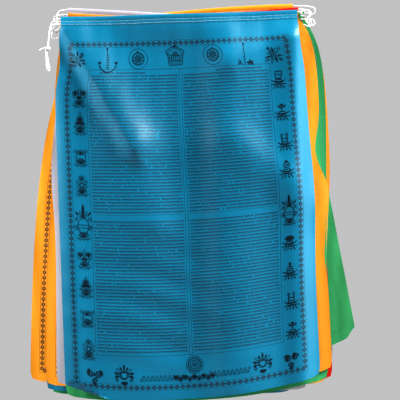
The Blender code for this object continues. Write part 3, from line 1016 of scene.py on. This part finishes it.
def leaf(x, y, length, width, angle, solid=False):
    # a pointed oval from x, y towards angle, 90 being up
    cos, sin = math.cos(math.radians(angle)), math.sin(math.radians(angle))
    outline = []
    for step, share in enumerate((0, 0.2, 0.45, 0.7, 1, 0.7, 0.45, 0.2)):
        ahead = share * length
        half = width / 2 * math.sin(math.pi * share) ** 0.8 if 0 < share < 1 else 0
        half = half if step < 4 else -half
        outline.append((x + ahead * cos - half * sin, y - ahead * sin - half * cos))
    return [("patch", outline)] if solid else [("loop", outline, 0.75)]


def petals(x, y, count, length, width, start, end, solid=False, inner=0.0):
    made = []
    for step in range(count):
        angle = start + (end - start) * step / max(1, count - 1)
        turn = math.radians(angle)
        made += leaf(x + inner * math.cos(turn), y - inner * math.sin(turn), length, width, angle, solid)
    return made


def curl(x, y, radius, start, turns, width=0.9, flip=1):
    count = int(14 * turns)
    points = []
    for step in range(count + 1):
        share = step / count
        turn = math.radians(start) + flip * 2 * math.pi * turns * share
        points.append(polar(radius * (1 - 0.85 * share), turn, x, y))
    return [("line", points, width)]


def lotusSeat(y, width):
    # a row of petals over a lens of water
    made = petals(0, y, 7, width * 0.34, width * 0.16, 20, 160)
    made += arc(0, y - width * 0.05, width * 0.46, 20, 160, 0.9, 0.35)
    made += line((-width * 0.32, y + 3), (width * 0.32, y + 3))
    return made + dot(-width * 0.2, y + 5, 0.9) + dot(0, y + 5.4, 0.9) + dot(width * 0.2, y + 5, 0.9)


def medallion():
    made = ring(0, 0, 19.4, 0.7) + ring(0, 0, 12.2, 1.1) + ring(0, 0, 10.4, 0.6) + dot(0, -13.8, 1.5)
    made += petals(0, 0, 8, 5.4, 3.4, 22, 337, True, 3.6) + ring(0, 0, 3.0, 1.2) + dot(0, 0, 1.3)
    return made + petals(0, 1, 5, 3.2, 1.6, 200, 340, True, 8.0)


def shield():
    outline = [(0, -20), (8, -15), (19, -8), (15, 2), (13, 18), (-13, 18), (-15, 2), (-19, -8), (-8, -15)]
    inner = [(x * 0.78, y * 0.78 + 0.5) for x, y in outline]
    made = outlined(outline, 1.3) + outlined(inner, 0.8) + petals(0, -15, 3, 4.5, 2.4, 60, 120, True)
    for x in (-8, -4, 0, 4, 8):
        made += line((x, -7 + abs(x) * 0.3), (x, 10), width=1.0)
    made += line((-10, 0), (10, 0)) + line((-10.5, 10.5), (10.5, 10.5), width=1.2)
    return made + ring(0, -5, 3.2, 1.0)


def staff(crescent):
    made = line((0, -20), (0, 20), width=0.9) + leaf(0, -18, 6.5, 3.6, 90, True)
    if crescent:
        for y, reach in ((-10, 2.5), (-5, 3.5), (0, 3.5), (5, 4.5), (10, 4.5), (15, 5.5)):
            made += line((-reach, y), (reach, y), width=0.7)
        made += arc(0, 6, 17, 10, 170, 0.9, 1.0) + arc(0, 3, 19, 20, 160, 0.7, 1.12) + dot(0, 25, 1.2)
        return made + petals(17, 8, 3, 5, 2.4, 60, 120) + petals(-17, 8, 3, 5, 2.4, 60, 120)
    for y in (-9, -3, 3, 9):
        made += line((-3.5, y + 1.5), (0, y), width=0.7)
    made += petals(11, 17, 4, 8, 3.6, -20, 160, True) + ring(9, 17, 2.6, 0.9)
    return made + petals(-9, 16, 3, 6, 2.2, 100, 200) + line((-12, 8), (-9, 15), (-4, 19))


def spray(seed, reach):
    rng = random.Random(seed)
    made = ring(0, 0, 4.2, 1.1) + dot(0, 0, 1.8)
    for step in range(11):
        angle = step * 360 / 11 + rng.uniform(-9, 9)
        length, width = rng.uniform(0.35, 0.62) * reach, rng.uniform(2.4, 4.2)
        made += leaf(*polar(5, math.radians(-angle)), length, width, angle, step % 3 == 0)
    for step in range(4):
        angle = 45 + 90 * step + rng.uniform(-15, 15)
        place = polar(reach * 0.68, math.radians(-angle))
        made += curl(*place, reach * 0.16, angle, 1.2, 0.8, 1 if step % 2 else -1)
    return made


def plant(seed, tall):
    # left column: a bud or crown over a leafy ring on a lotus seat
    rng = random.Random(seed)
    half = tall / 2
    made = lotusSeat(half - 8, 28)
    kind = seed % 4
    if kind == 0:
        for x in (-7, 7):
            made += ring(x, half - 24, 4.6, 0.9) + petals(x, half - 26, 5, 6.5, 2.6, 30, 150)
            made += dot(x, half - 24, 1.8)
        made += leaf(0, half - 24, 13, 4.5, 90) + petals(0, half - 18, 4, 6, 2.4, 20, 160, True)
    elif kind == 1:
        for level, reach in ((15, 12), (22, 9.5), (29, 6.5)):
            made += petals(0, half - level, 6, reach, 2.8, 12, 168, level == 22)
        made += leaf(0, half - 30, min(16, tall - 34), 4.2, 90)
    elif kind == 2:
        made += ring(0, half - 22, 8.2, 1.0) + petals(0, half - 22, 8, 4.4, 2.4, 20, 335, True, 2.0)
        made += arc(0, half - 22, 11.5, 200, 340, 0.8) + petals(0, half - 31, 3, 8, 3.0, 55, 125)
    else:
        made += line((-8, half - 12), (-8, half - 24), (8, half - 24), (8, half - 12), width=1.0)
        made += arc(0, half - 12, 5, 190, 350, 0.9) + petals(0, half - 24, 5, 9, 3.2, 35, 145)
        made += curl(-9, half - 30, 4.0, 0, 1.3, 0.8) + curl(9, half - 30, 4.0, 180, 1.3, 0.8, -1)
    for step in range(4):
        made += dot(rng.uniform(-12, 12), half - rng.uniform(14, 20), 0.9)
    return made


def bigVase(tall):
    half = tall / 2
    made = lotusSeat(half - 9, 30)
    body = ((-5, 16), (5, 16), (10, 26), (8, 36), (3.5, 41), (-3.5, 41), (-8, 36), (-10, 26))
    made += outlined([(x, half - up) for x, up in body], 1.2)
    made += line((-9, half - 30), (9, half - 30)) + line((-9.5, half - 25), (9.5, half - 25))
    made += line((-5, half - 43), (5, half - 43), width=1.2)
    made += petals(0, half - 43, 5, 13, 4.0, 30, 150) + leaf(0, half - 48, 18, 5.0, 90, True)
    for side in (-1, 1):
        made += curl(side * 13, half - 26, 4.5, 90, 1.4, 0.9, side)
        made += curl(side * 12, half - 40, 3.6, 270, 1.3, 0.9, -side)
        made += leaf(side * 8, half - 46, 9, 3.0, 90 - side * 38, True)
    return made


def offering(seed):
    # right column: a low table with splayed legs, a bowl, and something different on each
    rng = random.Random(seed + 50)
    made = line((-9, 1), (9, 1), width=2.4) + line((-10, 5), (10, 5), width=1.5) + ring(0, 3, 3.0, 1.2)
    for side in (-1, 1):
        for x1, y1, x2, y2, width in (
            (7, 1, 14, -3, 1.5), (8, 5, 15, 6, 1.5), (6, 6, 11, 14, 1.6), (2.5, 6, 4, 14, 1.5),
        ):
            made += line((side * x1, y1), (side * x2, y2), width=width)
    made += arc(0, -3, 6.5, 10, 170, 1.8, 0.75) + line((-6.5, -3.5), (6.5, -3.5), width=1.6)
    kind = seed % 6
    if kind == 0:
        made += outlined([(-7, -20), (7, -20), (5, -6), (-5, -6)], 1.5) + line((-3, -16), (3, -12), width=1.5)
    elif kind == 1:
        made += arc(0, -17, 7, 5, 175, 2.6, 0.7) + petals(0, -15, 5, 5, 2.8, 40, 140, True)
        made += line((0, -12), (0, -5), width=1.5)
    elif kind == 2:
        made += line((-5, -5), (-5, -15), width=1.8) + line((5, -5), (5, -15), width=1.8)
        made += ring(-5, -17, 2.2, 1.2) + ring(5, -17, 2.2, 1.2)
        made += line((-5, -10), (5, -10), width=1.4)
    elif kind == 3:
        made += petals(0, -5, 7, 12, 3.6, 30, 150, True)
    elif kind == 4:
        made += ring(0, -12, 5.4, 1.8) + dot(0, -12, 2.2) + petals(0, -17, 3, 5, 2.6, 50, 130, True)
    else:
        made += line((-7, -7), (7, -7), width=1.8) + line((-5, -11), (5, -11), width=1.8)
        made += leaf(0, -12, 9, 5.0, 90, True)
    return made + dot(rng.uniform(-2, 2), 11, 1.2)


def lotusRing():
    # a pot on a seat, with leaves all round it
    made = ring(0, 0, 6.6, 1.8) + ring(0, 0, 9.0, 0.8) + leaf(0, -9, 11, 4.4, 90, True) + dot(0, -19, 1.3)
    for side in (-1, 1):
        for angle, reach, width in ((12, 12, 4.2), (38, 11, 4.0), (62, 9, 3.6), (-14, 11, 4.0)):
            x, y = polar(9, math.radians(-angle))
            made += leaf(side * x, y, reach, width, angle if side > 0 else 180 - angle, angle != 38)
        made += curl(side * 15, 9, 4.0, 90, 1.2, 1.3, side)
    made += petals(0, 13, 7, 8, 3.4, 200, 340, True) + arc(0, 6, 18, 200, 340, 1.3, 0.6)
    return made


def swirls(mirror):
    m = -1 if mirror else 1
    made = curl(-8 * m, -6, 7, 0, 1.6, 2.2, m) + curl(7 * m, -5, 7.5, 200, 1.7, 2.2, -m)
    made += curl(m, 8, 6, 90, 1.5, 2.0, m)
    made += petals(-9 * m, -8, 4, 8, 3.4, 110, 220, True) + petals(10 * m, -6, 4, 8, 3.4, -40, 70, True)
    return made + petals(0, 12, 3, 6, 3.0, 230, 310, True)


def beadRow(reach):
    made = []
    for step in range(int(2 * reach / 8.4) + 1):
        x = -reach + step * 8.4
        made += ring(x, 0, 2.6, 1.0) + ring(x + 4.2, -6, 1.9, 0.9)
    return made


def clusters():
    made = []
    for x, y, size in (
        (-36, -2, 6.5), (-27, 2, 7), (-18, -2, 7), (-9, 2, 7.5), (0, -1, 8), (9, 2, 7.5),
        (18, -2, 7), (27, 2, 7), (36, -2, 6.5),
    ):
        made += petals(x, y + 3, 5, size, 2.8, 20, 160, abs(x) % 2 == 0) + ring(x, y + 5, 1.8, 1.1)
    return made


def wheel():
    made = ring(0, 0, 12, 1.5) + ring(0, 0, 8.4, 1.0) + ring(0, 0, 2.6, 1.3)
    for step in range(12):
        made += arc(*polar(13.6, math.radians(30 * step)), 3.2, 30 * step - 90, 30 * step + 90)
    for step in range(8):
        turn = math.radians(45 * step + 10)
        made += line(polar(2.8, turn), polar(8.2, turn))
    return made


emblemRows = [                 # middle of each, across and down the flag, and its marks
    (43, 95, spray(3, 20)), (112, 96, staff(True)), (182, 94, medallion()), (268, 89, shield()),
    (355, 91, medallion()), (427, 95, staff(False)), (494, 99, spray(8, 24)),
    (53, 175, plant(0, 42)), (54, 232, plant(1, 48)), (53, 302, plant(3, 46)), (53, 369, plant(2, 42)),
    (53, 443, bigVase(78)), (53, 526, plant(0, 44)), (54, 589, plant(1, 44)), (55, 653, plant(3, 44)),
    (55, 722, plant(2, 46)),
    (500, 158, offering(0)), (503, 230, offering(1)), (504, 297, offering(2)), (503, 358, offering(4)),
    (503, 441, bigVase(76)), (503, 519, offering(3)), (503, 584, offering(5)), (504, 651, offering(2)),
    (504, 716, offering(1)),
    (66, 782, swirls(False)), (131, 776, lotusRing()), (214, 786, beadRow(40)), (285, 783, clusters()),
    (286, 757, wheel()), (359, 783, beadRow(38)), (435, 771, lotusRing()), (497, 779, swirls(True)),
]
inkLayer = {
    "lift": 0.00016, "thickness": 0.00010, "growLeft": 1.28, "growElsewhere": 1.12, "stroke": 1.2,
    "leftColumn": (120, 750, 280),     # from and to, down the flag, and how far across
}


def emblemPiece(sheet, rows):
    pen = Pen()
    first, last, reach = inkLayer["leftColumn"]
    for u, v, marks in rows:
        grow = inkLayer["growLeft" if first <= v <= last and u < reach else "growElsewhere"]
        for kind, points, *width in marks:
            placed = [(u + x * grow, v + y * grow) for x, y in points]
            if kind == "patch":
                pen.patch(placed)
            else:
                pen.strip(placed, width[0] * inkLayer["stroke"], kind == "loop")
    flat = np.array(pen.verts)
    top = onPrint(sheet, flat[:, 0], flat[:, 1], inkLayer["lift"] + inkLayer["thickness"])
    under = onPrint(sheet, flat[:, 0], flat[:, 1], inkLayer["lift"])
    count = len(flat)
    faces = list(pen.faces) + [tuple(v + count for v in face[::-1]) for face in pen.faces]
    for rim in pen.rims:
        faces += [(b, a, a + count, b + count) for a, b in zip(rim, rim[1:] + rim[:1])]
    mesh = bpy.data.meshes.new("emblems")
    mesh.from_pydata([tuple(v) for v in np.concatenate([top, under])], [], faces)
    ob = placeMesh(f"printedEmblems{sheet['number']:02d}", mesh, printInk)
    bm = bmesh.new()
    bm.from_mesh(mesh)
    bmesh.ops.recalc_face_normals(bm, faces=bm.faces)
    bm.to_mesh(mesh)
    bm.free()
    return ob


for number in (1, 20):
    emblems = emblemPiece(sheets[number], emblemRows)
    plainPiece(emblems, None, f"cloth_{flags[number - 1]['colour']}")
    sheets[number]["emblems"] = emblems
print("emblems printed")

for number, sheet in sheets.items():
    hangsFrom = [f"stringTurn{turn:02d}" for turn in (number - 1, number) if 1 <= turn < len(flags)]
    onIt = [sheet[part] for part in ("stitches", "emblems") if part in sheet]
